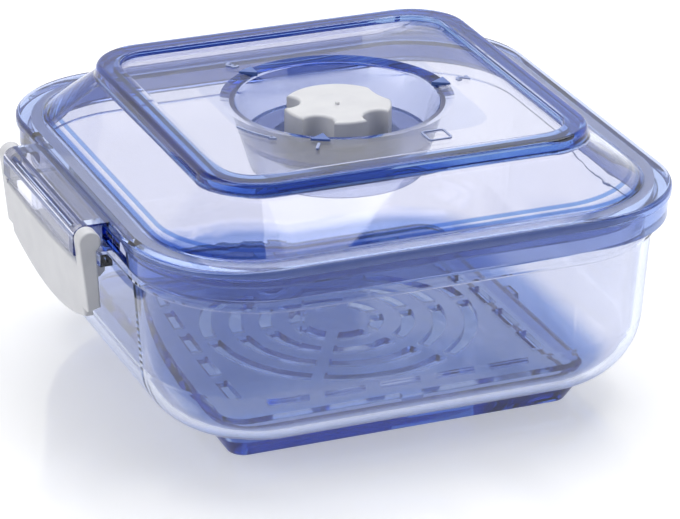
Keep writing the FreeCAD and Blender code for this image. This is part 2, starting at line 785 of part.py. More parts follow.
def make_latch():
    """White clip: grip plate, two arms with round heads, pivot stubs and the hook under the catch."""
    body = new_body("latch")
    top_reach = plate_reach("plate_top")
    lip_reach = plate_reach("plate_lip_level")
    plate = (
        (f"0 - {top_reach}", "plate_top"),
        (f"plate_thickness - {top_reach}", "plate_top"),
        (f"plate_thickness - {lip_reach}", "plate_lip_level"),
        (f"0 - {lip_reach}", "plate_lip_level"),
    )
    pad(body, "plate", polygon(body, "plate_section", "XZ_Plane", plate), "2 * plate_half", both_ways=True)
    outside = "0 - head_reach - cut_over"
    through = "plate_thickness + head_reach - arm_foot_reach + 2 * cut_over + arm_foot_thickness"
    below = new_sketch(body, "plate_foot", "YZ_Plane", outside)
    draw_sag(below)
    cut(body, "plate_foot_cut", below, through)
    above = circle(body, "plate_dip_edge", "dip_radius", outside, "0", "plate_top - plate_dip + dip_radius",
                   "YZ_Plane")
    cut(body, "plate_dip_cut", above, through)
    round_edges(body, "plate_rim_round", "plate_round", on_plate_face())
    hook_root = plate_reach("hook_top - hook_height / 2")
    hook = (
        (f"plate_thickness / 2 - {hook_root}", "hook_top - hook_height"),
        ("0 - hook_reach - hook_height / 2", "hook_top - hook_height"),
        ("0 - hook_reach", "hook_top - hook_height / 2"),
        ("0 - hook_reach", "hook_top"),
        (f"plate_thickness / 2 - {hook_root}", "hook_top"),
    )
    pad(body, "hook", polygon(body, "hook_section", "XZ_Plane", hook), "2 * hook_half", both_ways=True)
    arm = (
        ("0 - pivot_reach - head_radius", "pivot_level"),
        ("0 - arm_foot_reach", "arm_foot_level"),
        ("arm_foot_thickness - arm_foot_reach", "arm_foot_level + arm_foot_thickness * arm_foot_share"),
        ("head_radius / 2 - pivot_reach", "pivot_level"),
    )
    arm_pad = pad(body, "arm", polygon(body, "arm_section", "XZ_Plane", arm, "arm_inner"), "arm_width")
    head = circle(body, "head_edge", "head_radius", "arm_inner", "0 - pivot_reach", "pivot_level", "XZ_Plane")
    head_pad = pad(body, "head", head, "arm_width")
    stub = circle(body, "stub_edge", "stub_radius", "arm_inner - stub_length", "0 - pivot_reach",
                  "pivot_level", "XZ_Plane")
    stub_pad = pad(body, "stub", stub, "stub_length + arm_width / 2")
    mirror = body.newObject("PartDesign::Mirrored", "back_arm")
    mirror.Originals = [arm_pad, head_pad, stub_pad]
    mirror.MirrorPlane = (origin_plane(body, "XZ_Plane"), [""])
    body.Tip = mirror
    doc.recompute()
    slack = size("pick_slack")
    end = size("latch_half")
    round_edges(body, "arm_end_round", "arm_round", lambda point: abs(abs(point.y) - end) < slack)
    return body


def on_plate_face():
    """A test for points on the latch's outer face."""
    slack = size("pick_slack")
    lean = size("arm_lean")
    foot = size(plate_reach("0"))

    def test(point):
        return abs(point.x + foot + lean * point.z) < slack
    return test


def draw_sag(sketch):
    """Draws what is cut from below the plate: a straight base under a lip that sags in the middle."""
    edge = "plate_lip_level + plate_sag"
    base = "plate_lip_level - cut_over"
    points = (
        ("0 - plate_half", edge),
        ("0 - plate_half", base),
        ("plate_half", base),
        ("plate_half", edge),
    )
    places = [Vector(size(x), size(y)) for x, y in points]
    lines = [
        sketch.addGeometry(Part.LineSegment(places[index], places[index + 1]), False)
        for index in range(len(places) - 1)
    ]
    radius = size("sag_radius")
    bend = Part.Circle(Vector(0, size("plate_lip_level + sag_radius")), Vector(0, 0, 1), radius)
    opening = math.asin(size("plate_half") / radius)
    low = math.radians(3 * QUARTER)
    arc = sketch.addGeometry(Part.ArcOfCircle(bend, low - opening, low + opening), False)
    for item, place, (x, y) in zip(lines, places, points):
        place_point(sketch, item, 1, place, x, y)
    place_point(sketch, lines[-1], 2, places[-1], *points[-1])
    for first, second in zip(lines, lines[1:]):
        sketch.addConstraint(Constraint("Coincident", first, 2, second, 1))
    sketch.addConstraint(Constraint("Coincident", arc, 1, lines[0], 1))
    sketch.addConstraint(Constraint("Coincident", arc, 2, lines[-1], 2))
    hold(sketch, Constraint("Radius", arc, radius), "sag_radius")


def make_valve_knob():
    """White knob: scalloped grip, dished top, hollow for the spring and a hub with a square socket."""
    body = new_body("valve_knob")
    pad(body, "grip", circle(body, "grip_edge", "knob_radius", "knob_bottom"), "knob_height")
    for index, (angle, radius, depth) in enumerate(SCALLOPS):
        x, y = around(f"(knob_radius - {depth} + {radius})", str(angle))
        cut(body, f"scallop_{index}", circle(body, f"scallop_edge_{index}", radius, "knob_bottom", x, y),
            "knob_height")
    slack = size("pick_slack")
    top = size("knob_top")
    round_edges(body, "top_round", "knob_round", lambda point: abs(point.z - top) < slack)
    turn(body, "dish", (
        ("0", "knob_top - knob_dish_depth"),
        ("knob_dish_radius / 2", "knob_top - knob_dish_depth * dish_middle_share"),
        ("knob_dish_radius", "knob_top"),
        ("0", "knob_top"),
    ), remove=True)
    turn(body, "cavity", (
        ("hub_radius", "hub_level"),
        ("hub_radius", "knob_ceiling"),
        ("knob_cavity_radius", "knob_ceiling"),
        ("knob_cavity_radius", "knob_bottom"),
        ("0", "knob_bottom"),
        ("0", "hub_level"),
    ), remove=True)
    socket = round_square(body, "socket_edge", "drive_half + run_gap", "drive_corner", "hub_level")
    cut(body, "socket", socket, "drive_length + fit_gap")
    cut(body, "screw_pilot", circle(body, "pilot_edge", "screw_hole", "hub_level"),
        "rotor_bottom + screw_length + fit_gap - hub_level")
    return body


def make_valve_spindle():
    """Shaft between the knob and the rotor plate, grooved for its ring and bored for the screw."""
    body = new_body("valve_spindle")
    pad(body, "shaft", circle(body, "shaft_edge", "spindle_radius", "rotor_top"), "hub_level - rotor_top")
    pad(body, "drive", round_square(body, "drive_edge", "drive_half", "drive_corner", "hub_level"),
        "drive_length")
    cut(body, "bore", circle(body, "bore_edge", "screw_hole", "rotor_top"),
        "hub_level + drive_length - rotor_top")
    groove_low = "ring_level - ring_section - ring_ease"
    groove_high = "ring_level + ring_section + ring_ease"
    groove_in = "ring_centre - ring_section - ring_ease"
    turn(body, "ring_groove", (
        (groove_in, groove_low),
        ("spindle_radius + cut_over", groove_low),
        ("spindle_radius + cut_over", groove_high),
        (groove_in, groove_high),
    ), remove=True)
    return body


def make_spindle_o_ring():
    """Round-section ring in the spindle's groove."""
    ring = doc.addObject("Part::Torus", "spindle_o_ring")
    ring.setExpression("Radius1", bound("ring_centre"))
    ring.setExpression("Radius2", bound("ring_section"))
    ring.setExpression("Placement.Base.z", bound("ring_level"))
    return ring


def make_thrust_washer():
    """Flat washer between the knob's hub and the boss."""
    body = new_body("thrust_washer")
    edges = circle(body, "washer_edges", "washer_radius", "washer_level")
    draw_circle(edges, "spindle_radius + ring_ease")
    pad(body, "washer", edges, "washer_thickness")
    return body


def make_valve_spring():
    """Coil spring inside the knob, round the boss and hub."""
    body = new_body("valve_spring")
    wire = circle(body, "wire_edge", "spring_wire", "0", "spring_radius", "spring_start", "XZ_Plane")
    coil = feature(body, "AdditiveHelix", "coil", wire)
    coil.ReferenceAxis = (wire, ["V_Axis"])
    coil.Mode = "height-turns-angle"
    coil.setExpression("Height", bound("spring_rise"))
    coil.setExpression("Turns", bound("spring_turns"))
    doc.recompute()
    return body


def make_rotor_plate():
    """Port plate under the floor of the well: one open port, the check valve's seat and its vents."""
    body = new_body("rotor_plate")
    edges = circle(body, "plate_edges", "rotor_radius", "rotor_bottom")
    draw_circle(edges, "screw_hole")
    pad(body, "plate", edges, "rotor_thickness")
    holes = new_sketch(body, "hole_edges", level="rotor_bottom")
    draw_circle(holes, "port_radius", *around("port_circle", "open_turn"))
    seat_x, seat_y = around("port_circle", "check_turn")
    draw_circle(holes, "umbrella_stem + run_gap", seat_x, seat_y)
    for index in range(VENTS):
        vent_x, vent_y = around("vent_circle", f"{index * FULL_TURN / VENTS}")
        draw_circle(holes, "vent_radius", f"{seat_x} + {vent_x}", f"{seat_y} + {vent_y}")
    cut(body, "holes", holes, "rotor_thickness")
    return body


def make_rotor_seal():
    """Silicone face on the port plate, open over the port and round the check valve."""
    body = new_body("rotor_seal")
    edges = circle(body, "seal_edges", "rotor_radius - seal_inset", "rotor_top")
    draw_circle(edges, "spindle_radius + fit_gap")
    draw_circle(edges, "port_radius", *around("port_circle", "open_turn"))
    draw_circle(edges, "umbrella_window", *around("port_circle", "check_turn"))
    pad(body, "face", edges, "seal_thickness")
    return body


def make_check_valve():
    """Silicone umbrella: cap on the plate, stem through it and a bulb below."""
    body = new_body("check_valve")
    place = around("port_circle", "check_turn")
    pad(body, "cap", circle(body, "cap_edge", "umbrella_radius", "rotor_top", *place), "umbrella_thickness")
    pad(body, "stem", circle(body, "stem_edge", "umbrella_stem", "rotor_bottom", *place), "rotor_thickness")
    bulb = circle(body, "bulb_edge", "umbrella_bulb", "rotor_bottom - umbrella_bulb_height", *place)
    pad(body, "bulb", bulb, "umbrella_bulb_height")
    return body


def make_spindle_screw():
    """Slotted screw from below the plate, through the spindle into the knob's hub."""
    body = new_body("spindle_screw")
    pad(body, "shank", circle(body, "shank_edge", "screw_radius", "rotor_bottom"), "screw_length")
    head_level = "rotor_bottom - screw_head_height"
    pad(body, "head", circle(body, "head_edge", "screw_head_radius", head_level), "screw_head_height")
    slot = (
        ("0 - screw_head_radius", "0 - screw_slot_half"),
        ("screw_head_radius", "0 - screw_slot_half"),
        ("screw_head_radius", "screw_slot_half"),
        ("0 - screw_head_radius", "screw_slot_half"),
    )
    cut(body, "slot", polygon(body, "slot_edge", "XY_Plane", slot, head_level), "screw_slot_depth")
    return body


pieces = [
    make_container(),
    make_drain_grid(),
    make_lid(),
    make_lid_gasket(),
    make_latch(),
    make_valve_knob(),
    make_valve_spindle(),
    make_spindle_o_ring(),
    make_thrust_washer(),
    make_valve_spring(),
    make_rotor_plate(),
    make_rotor_seal(),
    make_check_valve(),
    make_spindle_screw(),
]
doc.recompute()

for item in doc.Objects:
    if "Invalid" in item.State or "Error" in item.State:
        raise RuntimeError(f"{item.Name} failed: {item.State}")
for piece in pieces:
    shape = piece.Shape
    if shape.isNull() or not shape.isValid() or len(shape.Solids) != 1:
        raise RuntimeError(f"{piece.Label} is not one valid solid")

os.makedirs("parts", exist_ok=True)
for piece in pieces:
    piece.Shape.exportStep(f"parts/{piece.Label}.step")
    box = piece.Shape.BoundBox
    print(f"{piece.Label}: {box.XLength:.1f} x {box.YLength:.1f} x {box.ZLength:.1f} mm, "
          f"z {box.ZMin:.1f} to {box.ZMax:.1f}, {piece.Shape.Volume / 1000:.2f} ml")
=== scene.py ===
"""Looks of a clear square food canister with a side clip and a turning air valve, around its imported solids."""

import logging
import math
from collections.abc import Callable
from dataclasses import dataclass
from enum import Enum

import bpy
from mathutils import Matrix, Vector


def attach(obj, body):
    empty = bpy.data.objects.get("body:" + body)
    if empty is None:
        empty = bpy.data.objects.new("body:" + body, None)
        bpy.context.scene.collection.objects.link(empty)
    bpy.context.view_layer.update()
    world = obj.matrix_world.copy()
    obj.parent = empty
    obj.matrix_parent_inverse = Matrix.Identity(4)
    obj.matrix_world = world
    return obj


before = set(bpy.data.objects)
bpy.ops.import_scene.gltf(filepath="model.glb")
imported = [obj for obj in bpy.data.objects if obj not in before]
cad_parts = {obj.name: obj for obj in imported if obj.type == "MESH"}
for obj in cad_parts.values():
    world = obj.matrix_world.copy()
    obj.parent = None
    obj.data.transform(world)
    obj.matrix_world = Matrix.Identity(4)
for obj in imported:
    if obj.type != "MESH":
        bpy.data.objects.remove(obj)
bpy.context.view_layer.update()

MM = 0.001
# Points closer than this, in metres, are one.
SAME_PLACE = 1e-6
# Most of a noise value lies between these.
NOISE_LOW, NOISE_HIGH = 0.3, 0.7
WHITE = "#FFFFFF"
LOG = logging.getLogger("canister")


class Body(Enum):
    """The bodies that added pieces ride on."""

    LID = "lid"
    VALVE = "valve_rotor"


class Slot(Enum):
    """The record's material slots; the added pieces here do not use them."""

    BLUE = "blue_plastic"
    WHITE = "white_plastic"


def linear(colour: str) -> tuple[float, float, float, float]:
    """Turns an sRGB hex value into a linear colour.

    Args:
        colour: Six hex digits after a hash sign.

    Returns:
        Linear red, green and blue with an alpha of one.
    """
    parts = [int(colour[at:at + 2], 16) / 255 for at in (1, 3, 5)]
    red, green, blue = [part / 12.92 if part <= 0.04045 else ((part + 0.055) / 1.055) ** 2.4 for part in parts]
    return (red, green, blue, 1.0)


def add_node(tree: bpy.types.NodeTree, kind: str, inputs: dict | None = None, **settings: object) -> bpy.types.Node:
    """Adds a node with its settings, its constants and its links.

    Args:
        tree: The node tree that gets the node.
        kind: The node's type name.
        inputs: Constants or other nodes' sockets, by input name or number.
        settings: The node's own properties.

    Returns:
        The new node.
    """
    node = tree.nodes.new(kind)
    for key, value in settings.items():
        setattr(node, key, value)
    for key, value in (inputs or {}).items():
        if isinstance(value, bpy.types.NodeSocket):
            tree.links.new(value, node.inputs[key])
        else:
            node.inputs[key].default_value = value
    return node


def combine(tree: bpy.types.NodeTree, operation: str, first: bpy.types.NodeSocket,
            second: bpy.types.NodeSocket | float = 0.0) -> bpy.types.NodeSocket:
    """Works out one value from one or two others.

    Args:
        tree: The node tree.
        operation: The name of the operation.
        first: The first value.
        second: The second value, where the operation has one.

    Returns:
        The result's socket.
    """
    return add_node(tree, "ShaderNodeMath", {0: first, 1: second}, operation=operation).outputs[0]


def two_tone(tree: bpy.types.NodeTree, value: bpy.types.NodeSocket, low: str, high: str,
             low_at: float = 0.0, high_at: float = 1.0) -> bpy.types.NodeSocket:
    """Blends from one colour to another along a value.

    Args:
        tree: The node tree.
        value: The value.
        low: The colour at the low end.
        high: The colour at the high end.
        low_at: The value where the low end lies.
        high_at: The value where the high end lies.

    Returns:
        The colour's socket.
    """
    ramp = add_node(tree, "ShaderNodeValToRGB", {"Fac": value})
    first, last = ramp.color_ramp.elements
    first.position, last.position = low_at, high_at
    first.color, last.color = linear(low), linear(high)
    return ramp.outputs["Color"]


def new_material(name: str) -> tuple[bpy.types.Material, bpy.types.NodeTree]:
    """Makes an empty node material.

    Args:
        name: The material's name.

    Returns:
        The material and its cleared node tree.
    """
    material = bpy.data.materials.new(name)
    material.use_nodes = True
    material.node_tree.nodes.clear()
    return material, material.node_tree


def grain(tree: bpy.types.NodeTree, size_mm: float, detail: float = 2.0) -> bpy.types.NodeSocket:
    """Adds soft noise in the piece's own coordinates.

    Args:
        tree: The node tree.
        size_mm: The width of one patch of noise in millimetres.
        detail: How many finer layers are added.

    Returns:
        The noise value's socket.
    """
    place = add_node(tree, "ShaderNodeTexCoord")
    noise = add_node(tree, "ShaderNodeTexNoise", {
        "Vector": place.outputs["Object"], "Scale": 1 / (size_mm * MM), "Detail": detail})
    return noise.outputs["Fac"]


def spread(tree: bpy.types.NodeTree, value: bpy.types.NodeSocket, low: float, high: float) -> bpy.types.NodeSocket:
    """Stretches the middle of a noise value over a range.

    Args:
        tree: The node tree.
        value: The noise value.
        low: What the darkest noise becomes.
        high: What the brightest noise becomes.

    Returns:
        The stretched value's socket.
    """
    node = add_node(tree, "ShaderNodeMapRange", {
        "Value": value, "From Min": NOISE_LOW, "From Max": NOISE_HIGH, "To Min": low, "To Max": high})
    return node.outputs["Result"]


def square_ring(tree: bpy.types.NodeTree, place: bpy.types.Node) -> bpy.types.NodeSocket:
    """Adds the distance from the middle, measured on squares with round corners.

    Args:
        tree: The node tree.
        place: The node that splits a place into its three parts.

    Returns:
        The distance's socket, in metres.
    """
    squareness = 8.0
    across, along = [
        combine(tree, "POWER", combine(tree, "ABSOLUTE", place.outputs[axis]), squareness) for axis in ("X", "Y")]
    return combine(tree, "POWER", combine(tree, "ADD", across, along), 1 / squareness)


@dataclass(frozen=True)
class DeepBand:
    """A ring of a moulding that differs from the rest, such as an edge painted a deeper blue: partly the tint of the
    longer path through a thick edge, partly painted shade from the dark surroundings that the edge shows.

    The band fades in from start to full and out from fade to end up the piece, and lies between two square rings.
    Sizes in millimetres.
    """

    start: float
    full: float
    fade: float
    end: float
    inside: float = 0.0
    outside: float = 130.0
    strength: float = 1.0
    ring_fade: float = 1.0

    def mask(self, tree: bpy.types.NodeTree) -> bpy.types.NodeSocket:
        """Adds the band's strength.

        Args:
            tree: The node tree.

        Returns:
            A socket that is the band's strength in the band and zero away from it.
        """
        spot = add_node(tree, "ShaderNodeTexCoord")
        place = add_node(tree, "ShaderNodeSeparateXYZ", {"Vector": spot.outputs["Object"]})
        level = place.outputs["Z"]
        ring = square_ring(tree, place)
        ramps = ((level, self.start, self.full), (level, self.end, self.fade),
                 (ring, self.inside - self.ring_fade, self.inside),
                 (ring, self.outside + self.ring_fade, self.outside))
        strength: bpy.types.NodeSocket | float = self.strength
        for value, clear, deep in ramps:
            ramp = add_node(tree, "ShaderNodeMapRange", {"Value": value, "From Min": clear * MM, "From Max": deep * MM})
            strength = combine(tree, "MULTIPLY", ramp.outputs["Result"], strength)
        return strength


@dataclass(frozen=True)
class ClearMoulding:
    """Clear plastic tinted right through and moulded in a polished tool.

    The tint gathers with the length of the path, so thin walls are pale and edges seen end on are deep blue, and
    faces that the light grazes carry more of it. The polished faces are nearly mirror smooth, with slow flow waves
    that bend reflections a little. Bands are painted a deeper blue, partly for the longer path through thick edges and
    partly as painted shade from the dark surroundings that the edges show; a frosted band scatters what shows through
    it.
    """

    name: str
    face: str
    edge: str
    tint: str
    tint_per_m: float
    ior: float
    rough_low: float
    rough_high: float
    flow_mm: float
    wave_mm: float
    bands: tuple[DeepBand, ...] = ()
    frosted: DeepBand | None = None
    graze_blend: float = 0.35
    graze_start: float = 0.55
    graze_full: float = 0.95

    def depth(self, tree: bpy.types.NodeTree) -> bpy.types.NodeSocket:
        """Adds how deep the blue is, from the way a face lies to the light and from the bands, whose deeper blue is
        partly painted shade.

        Args:
            tree: The node tree.

        Returns:
            A socket from zero, pale, to one, deep.
        """
        graze = add_node(tree, "ShaderNodeLayerWeight", {"Blend": self.graze_blend})
        depth = add_node(tree, "ShaderNodeMapRange", {
            "Value": graze.outputs["Facing"], "From Min": self.graze_start, "From Max": self.graze_full})
        deepest = depth.outputs["Result"]
        # The bands add a deeper blue, partly painted shade.
        for band in self.bands:
            deepest = combine(tree, "MAXIMUM", deepest, band.mask(tree))
        return deepest

    def material(self) -> bpy.types.Material:
        """Builds the material.

        Returns:
            The material.
        """
        material, tree = new_material(self.name)
        flow = grain(tree, self.flow_mm, 1.0)
        bump = add_node(tree, "ShaderNodeBump", {"Height": flow, "Distance": self.wave_mm * MM, "Strength": 1.0})
        rough = spread(tree, grain(tree, self.flow_mm / 4), self.rough_low, self.rough_high)
        if self.frosted:
            rough = combine(tree, "MAXIMUM", rough, self.frosted.mask(tree))
        shader = add_node(tree, "ShaderNodeBsdfPrincipled", {
            "Base Color": two_tone(tree, self.depth(tree), self.face, self.edge), "Roughness": rough,
            "IOR": self.ior, "Transmission Weight": 1.0, "Normal": bump.outputs["Normal"]})
        tint = add_node(tree, "ShaderNodeVolumeAbsorption", {
            "Color": linear(self.tint), "Density": self.tint_per_m})
        add_node(tree, "ShaderNodeOutputMaterial", {
            "Surface": shader.outputs["BSDF"], "Volume": tint.outputs["Volume"]})
        return material


@dataclass(frozen=True)
class SolidMoulding:
    """Opaque or milky plastic, rubber or print with a fine grain.

    The two tones are the faint cloudiness of pigmented plastic, and the grain breaks up the gloss.
    """

    name: str
    tone: str
    shade: str
    ior: float
    rough_low: float
    rough_high: float
    cloud_mm: float
    grain_mm: float
    grain_height_mm: float
    depth_weight: float = 0.0
    depth_mm: float = 1.0
    see_through: float = 0.0
    shade_at: float = 0.35
    tone_at: float = 0.65

    def material(self) -> bpy.types.Material:
        """Builds the material.

        Returns:
            The material.
        """
        material, tree = new_material(self.name)
        cloud = grain(tree, self.cloud_mm)
        fine = grain(tree, self.grain_mm)
        bump = add_node(tree, "ShaderNodeBump", {
            "Height": fine, "Distance": self.grain_height_mm * MM, "Strength": 1.0})
        shader = add_node(tree, "ShaderNodeBsdfPrincipled", {
            "Base Color": two_tone(tree, cloud, self.shade, self.tone, self.shade_at, self.tone_at),
            "Roughness": spread(tree, fine, self.rough_low, self.rough_high),
            "IOR": self.ior, "Normal": bump.outputs["Normal"],
            "Subsurface Weight": self.depth_weight, "Subsurface Scale": self.depth_mm * MM,
            "Subsurface Radius": (1.0, 1.0, 1.0), "Transmission Weight": self.see_through})
        add_node(tree, "ShaderNodeOutputMaterial", {"Surface": shader.outputs["BSDF"]})
        return material


@dataclass(frozen=True)
class DrawnSteel:
    """Bright drawn stainless steel: fine streaks in the gloss, left by the die."""

    name: str
    tone: str
    shade: str
    rough_low: float
    rough_high: float
    streak_mm: float
    streak_detail: float = 4.0

    def material(self) -> bpy.types.Material:
        """Builds the material.

        Returns:
            The material.
        """
        material, tree = new_material(self.name)
        streak = grain(tree, self.streak_mm, self.streak_detail)
        shader = add_node(tree, "ShaderNodeBsdfPrincipled", {
            "Base Color": two_tone(tree, streak, self.shade, self.tone), "Metallic": 1.0,
            "Roughness": spread(tree, streak, self.rough_low, self.rough_high)})
        add_node(tree, "ShaderNodeOutputMaterial", {"Surface": shader.outputs["BSDF"]})
        return material


# Styrene copolymer for the tub, injection moulded in a mirror-polished tool: glassy, pale blue through a wall and
# deep blue along an edge. The band is the floor with the lower part of the bottom's round, painted a deeper blue:
# partly the tint of the longer path through the foot, partly painted shade from the shaded floor under the tub that it
# reflects.
TUB_BLUE = ClearMoulding(
    name="styrene_copolymer_polished_blue", face="#E5E5EC", edge="#4C7BCA", tint="#3FA0E6", tint_per_m=20.0,
    ior=1.54, rough_low=0.0, rough_high=0.03, flow_mm=22.0, wave_mm=0.012,
    bands=(DeepBand(6.8, 7.3, 12.0, 17.0, strength=0.9),))
# The same plastic and tool finish for the lid. The bands are the skirt, the flange's edge, the raised rim and the
# valve well, painted a deeper blue: partly the tint of the longer path through them, partly painted shade from the
# dark surroundings they show. The lower part of the well is lightly frosted, so the knob's foot does not show through
# it.
LID_BLUE = ClearMoulding(
    name="styrene_copolymer_polished_blue_lid", face="#EDE9EC", edge="#5682CA", tint="#3FA0E6", tint_per_m=38.0,
    ior=1.54, rough_low=0.0, rough_high=0.03, flow_mm=22.0, wave_mm=0.012,
    bands=(DeepBand(60.0, 61.0, 83.9, 84.9, inside=80.0, outside=100.5, strength=0.65),
           DeepBand(85.1, 85.2, 86.0, 86.3, inside=80.0, outside=100.5),
           DeepBand(99.6, 100.0, 120.0, 121.0, inside=66.0, outside=100.5, strength=0.95),
           DeepBand(70.0, 71.0, 101.8, 102.3, outside=43.0, strength=0.34)),
    frosted=DeepBand(70.0, 71.0, 97.0, 99.5, outside=41.0, strength=0.16))
# The same plastic for the drain grid, from a duller tool: its blue gathers faster, and its gloss is softer.
GRID_BLUE = ClearMoulding(
    name="styrene_copolymer_satin_blue", face="#E2E9F6", edge="#5682CA", tint="#3FA0E6", tint_per_m=60.0,
    ior=1.54, rough_low=0.04, rough_high=0.08, flow_mm=14.0, wave_mm=0.008)
# Blue painted on the triangles that are raised on the lid, even and satin, so they read against the clear panel:
# painted shade, for the deep blue that the raised clear triangles show.
RAISED_MARK_DEEP_SHADE = SolidMoulding(
    name="painted_shade_satin_blue", tone="#5E7CC2", shade="#5471BA", ior=1.5, rough_low=0.28, rough_high=0.38,
    cloud_mm=3.0, grain_mm=0.4, grain_height_mm=0.003)
# The same finish in a pale blue on the thin marks, which stand out less: painted highlight and shade, for the pale line
# and grey shade that the raised clear marks show.
RAISED_MARK_PALE_SHADE = SolidMoulding(
    name="painted_highlight_and_shade_pale_blue", tone="#A9B5DE", shade="#9DAAD6", ior=1.5, rough_low=0.28, rough_high=0.38,
    cloud_mm=3.0, grain_mm=0.4, grain_height_mm=0.003)
# Polypropylene for the clip and the knob, moulded in a fine spark-eroded tool: soft white satin.
WHITE_CLIP = SolidMoulding(
    name="polypropylene_satin_white", tone="#ECECEE", shade="#E4E4E7", ior=1.49, rough_low=0.30, rough_high=0.42,
    cloud_mm=14.0, grain_mm=0.5, grain_height_mm=0.006)
# Acetal turned or moulded for the moving valve pieces: a denser, slightly cool white.
ACETAL = SolidMoulding(
    name="acetal_moulded_natural", tone="#E6E8EA", shade="#DCDFE3", ior=1.48, rough_low=0.26, rough_high=0.36,
    cloud_mm=10.0, grain_mm=0.6, grain_height_mm=0.004)
# Silicone rubber for the valve's seals, press moulded: milky, soft gloss, light passes a little way in.
SILICONE = SolidMoulding(
    name="silicone_press_moulded_milky", tone="#DCE2EC", shade="#CFD7E4", ior=1.41, rough_low=0.42, rough_high=0.55,
    cloud_mm=8.0, grain_mm=0.8, grain_height_mm=0.008, depth_weight=0.6, depth_mm=1.5, see_through=0.25)
# White silicone for the lid's gasket, press moulded: it shows as a pale line through the blue flange.
GASKET = SolidMoulding(
    name="silicone_press_moulded_white", tone="#F6F8FF", shade="#EAF0FE", ior=1.41, rough_low=0.42, rough_high=0.55,
    cloud_mm=8.0, grain_mm=0.8, grain_height_mm=0.004)
# Stainless spring wire and screw, cold drawn: a bright grey with fine streaks.
STEEL = DrawnSteel(
    name="stainless_steel_drawn", tone="#C9CACD", shade="#A9ABAF", rough_low=0.18, rough_high=0.34, streak_mm=0.35)


def dress(node: str, material: bpy.types.Material) -> None:
    """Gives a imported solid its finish.

    Args:
        node: The solid's name.
        material: The finish.
    """
    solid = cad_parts[node]
    for slot in solid.material_slots:
        slot.material = material
    LOG.info("%s dressed in %s", node, material.name)


def finish_piece(piece: bpy.types.Object, material: bpy.types.Material) -> None:
    """Gives an added piece its finish.

    Args:
        piece: The piece.
        material: The finish.
    """
    piece.data.materials.clear()
    piece.data.materials.append(material)


def select_only(piece: bpy.types.Object) -> None:
    """Deselects everything, and makes one piece selected and active.

    Args:
        piece: The piece.
    """
    bpy.ops.object.select_all(action="DESELECT")
    piece.select_set(True)
    bpy.context.view_layer.objects.active = piece


def start_piece(name: str, add: Callable[..., set], **settings: object) -> bpy.types.Object:
    """Deselects everything and adds one primitive as the start of a piece.

    Args:
        name: The piece's name.
        add: The operator that adds the primitive.
        settings: The operator's settings.

    Returns:
        The new object, active and selected.
    """
    bpy.ops.object.select_all(action="DESELECT")
    add(**settings)
    piece = bpy.context.object
    piece.name = name
    piece.data.name = name
    return piece


def bake_place() -> None:
    """Puts the selected piece's place, turn and scale into its mesh."""
    bpy.ops.object.transform_apply(location=True, rotation=True, scale=True)


def settle(piece: bpy.types.Object, turn_deg: float, place: tuple[float, float, float] = (0.0, 0.0, 0.0)) -> None:
    """Turns and places a piece and puts that into its mesh.

    Args:
        piece: The piece.
        turn_deg: Turn about the vertical axis, after the place is set.
        place: Where the piece's own origin goes before the turn.
    """
    select_only(piece)
    turn = Matrix.Rotation(math.radians(turn_deg), 4, "Z")
    piece.matrix_world = turn @ Matrix.Translation(Vector(place)) @ piece.matrix_world
    bake_place()


def own_copy(piece: bpy.types.Object, name: str) -> bpy.types.Object:
    """Copies a piece with a mesh of its own.

    Args:
        piece: The piece to copy.
        name: The copy's name.

    Returns:
        The copy.
    """
    select_only(piece)
    bpy.ops.object.duplicate(linked=False)
    copy = bpy.context.object
    copy.name = name
    copy.data.name = name
    return copy


def close_mesh(piece: bpy.types.Object) -> None:
    """Merges doubles and turns the faces outwards.

    Args:
        piece: The piece.
    """
    select_only(piece)
    bpy.ops.object.mode_set(mode="EDIT")
    bpy.ops.mesh.select_all(action="SELECT")
    bpy.ops.mesh.remove_doubles(threshold=SAME_PLACE)
    bpy.ops.mesh.normals_make_consistent(inside=False)
    bpy.ops.object.mode_set(mode="OBJECT")


def bevel_top(piece: bpy.types.Object, width: float, steps: int = 2) -> None:
    """Rounds the edges round a piece's top.

    Args:
        piece: The piece, active.
        width: The width of the rounding in millimetres.
        steps: How many faces the rounding has across it.
    """
    bpy.ops.object.mode_set(mode="EDIT")
    bpy.ops.mesh.select_mode(type="EDGE")
    bpy.ops.mesh.select_all(action="DESELECT")
    bpy.ops.object.mode_set(mode="OBJECT")
    top = max(vertex.co.z for vertex in piece.data.vertices)
    for edge in piece.data.edges:
        edge.select = all(abs(piece.data.vertices[end].co.z - top) < SAME_PLACE for end in edge.vertices)
    bpy.ops.object.mode_set(mode="EDIT")
    bpy.ops.mesh.bevel(offset=width * MM, segments=steps, affect="EDGES")
    bpy.ops.object.mode_set(mode="OBJECT")


@dataclass
class Tub:
    """The clear container and the drain grid on its floor."""

    def build(self) -> None:
        """Dresses the container and the grid."""
        dress("container", TUB_BLUE.material())
        dress("drain_grid", GRID_BLUE.material())


